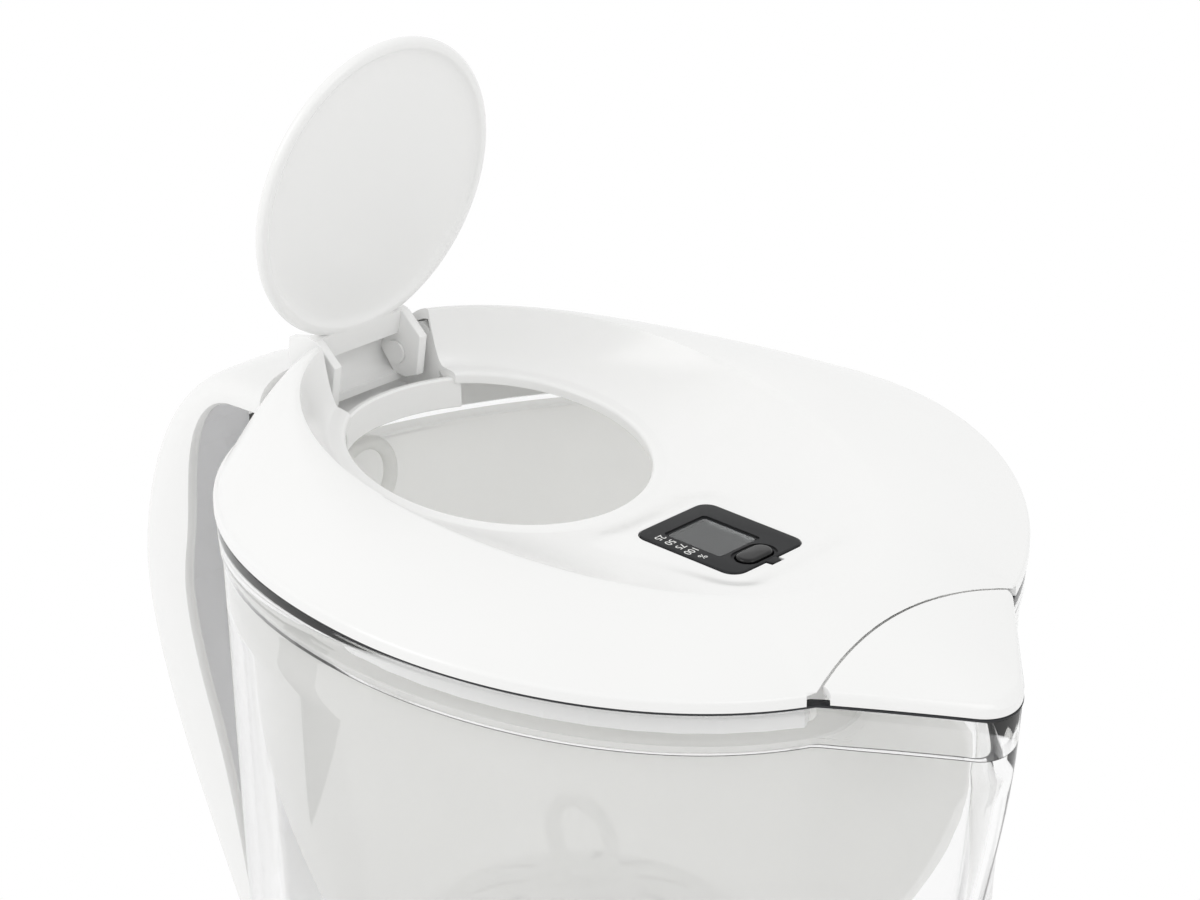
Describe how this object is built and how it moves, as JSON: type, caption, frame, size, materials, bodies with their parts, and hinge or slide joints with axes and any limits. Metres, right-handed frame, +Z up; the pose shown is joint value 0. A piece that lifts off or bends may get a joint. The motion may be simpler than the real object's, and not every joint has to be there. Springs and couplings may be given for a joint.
{
  "type": "water filter pitcher",
  "caption": "Clear oval pitcher with a reservoir and filter cartridge inside, a white lid with a round hinged refill flap, a pour flap, a filter meter and a rear loop handle.",
  "frame": {"origin": "on the table, at the foot of the jug below the middle of the lid", "axes": "+X towards the spout, handle at -X, +Z up"},
  "size_m": [0.2213, 0.16, 0.3197],
  "materials": {
    "clear_jug": "clear moulded styrene copolymer, polished",
    "white_gloss": "glossy moulded ABS",
    "pale_liner": "satin moulded ABS",
    "frosted_reservoir": "translucent moulded polypropylene",
    "cartridge_white": "satin moulded polypropylene",
    "seal_rubber": "dark silicone rubber",
    "fleece": "non-woven filter fleece",
    "resin": "ion exchange resin beads",
    "carbon": "activated carbon granules",
    "meter_dark": "satin dark ABS",
    "meter_button": "glossy black ABS",
    "meter_lens": "smoked acrylic window",
    "meter_display": "liquid crystal glass",
    "circuit_board": "green laminate",
    "bare_steel": "nickel plated steel"
  },
  "bodies": {
    "jug": {"jug_body": "clear_jug", "handle_shell": "white_gloss", "handle_liner": "pale_liner"},
    "reservoir": {"reservoir_funnel": "frosted_reservoir"},
    "cartridge": {"cartridge_cup": "cartridge_white", "cartridge_cap": "cartridge_white", "cartridge_pull_ring": "cartridge_white", "cartridge_seal": "seal_rubber", "cartridge_grid": "cartridge_white", "fleece_disc": "fleece", "resin_bed": "resin", "carbon_bed": "carbon"},
    "lid": {"lid_cover": "white_gloss", "lid_frame": "white_gloss", "lid_seal": "seal_rubber", "meter_case": "meter_dark", "meter_bezel": "meter_dark", "meter_lens": "meter_lens", "meter_display": "meter_display", "meter_board": "circuit_board", "meter_cell": "bare_steel", "meter_button_dome": "bare_steel"},
    "refill_flap": {"refill_flap": "white_gloss", "flap_hinge_pins": "white_gloss"},
    "pour_flap": {"pour_flap": "white_gloss", "pour_flap_pin": "bare_steel"},
    "meter_button": {"meter_button": "meter_button"}
  },
  "joints": [
    {"name": "reservoir_lift", "type": "slide", "parent": "jug", "child": "reservoir", "axis": [0, 0, 1], "range_m": [0, 0.16]},
    {"name": "cartridge_lift", "type": "slide", "parent": "reservoir", "child": "cartridge", "axis": [0, 0, 1], "range_m": [0, 0.12]},
    {"name": "lid_lift", "type": "slide", "parent": "cartridge", "child": "lid", "axis": [0, 0, 1], "range_m": [0, 0.08]},
    {"name": "refill_flap_hinge", "type": "hinge", "parent": "lid", "child": "refill_flap", "pos_m": [-0.06577, 0, 0.24889], "axis": [0, 1, 0], "range_deg": [0, 89.4]},
    {"name": "pour_flap_hinge", "type": "hinge", "parent": "lid", "child": "pour_flap", "pos_m": [0.079, 0, 0.23019], "axis": [0, -1, 0], "range_deg": [0, 35]},
    {"name": "meter_button_press", "type": "slide", "parent": "lid", "child": "meter_button", "axis": [-0.0523, 0, -0.9986], "range_m": [0, 0.0008], "stiffness_N_per_m": 900}
  ]
}
